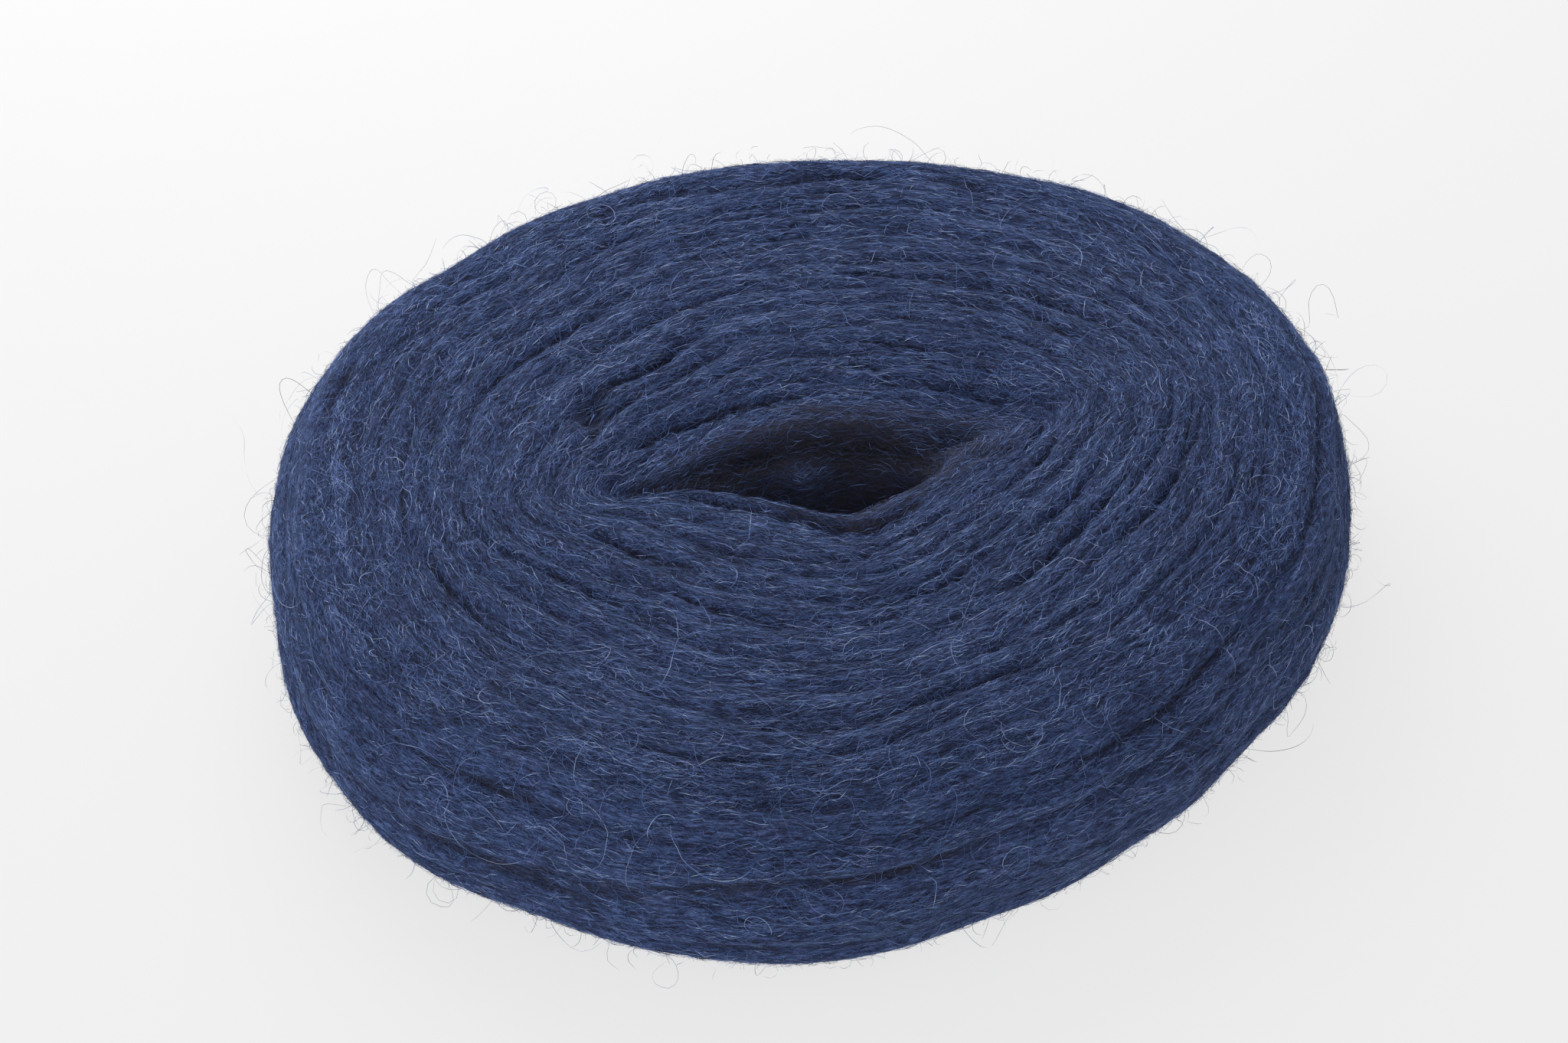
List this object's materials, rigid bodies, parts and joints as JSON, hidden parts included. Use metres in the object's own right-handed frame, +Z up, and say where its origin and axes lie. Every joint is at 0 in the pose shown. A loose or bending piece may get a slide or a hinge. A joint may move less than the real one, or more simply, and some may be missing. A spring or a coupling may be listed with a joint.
{
  "type": "unspun wool yarn plate",
  "caption": "Flat round plate of unspun navy wool roving, wound flat around a narrow leaf-shaped hollow, with soft ridges and furrows and a fuzzy surface",
  "frame": {"origin": "middle of the bounding box, on the plane that the plate rests on", "axes": "+Z up through the hollow, +X along the leaf-shaped hollow, +Y away from the picture's viewer"},
  "size_m": [0.2144, 0.203, 0.0385],
  "materials": {
    "wool": "matte, hairy, heathered navy wool"
  },
  "bodies": {
    "root": {"wound_wool": "wool"}
  },
  "joints": []
}
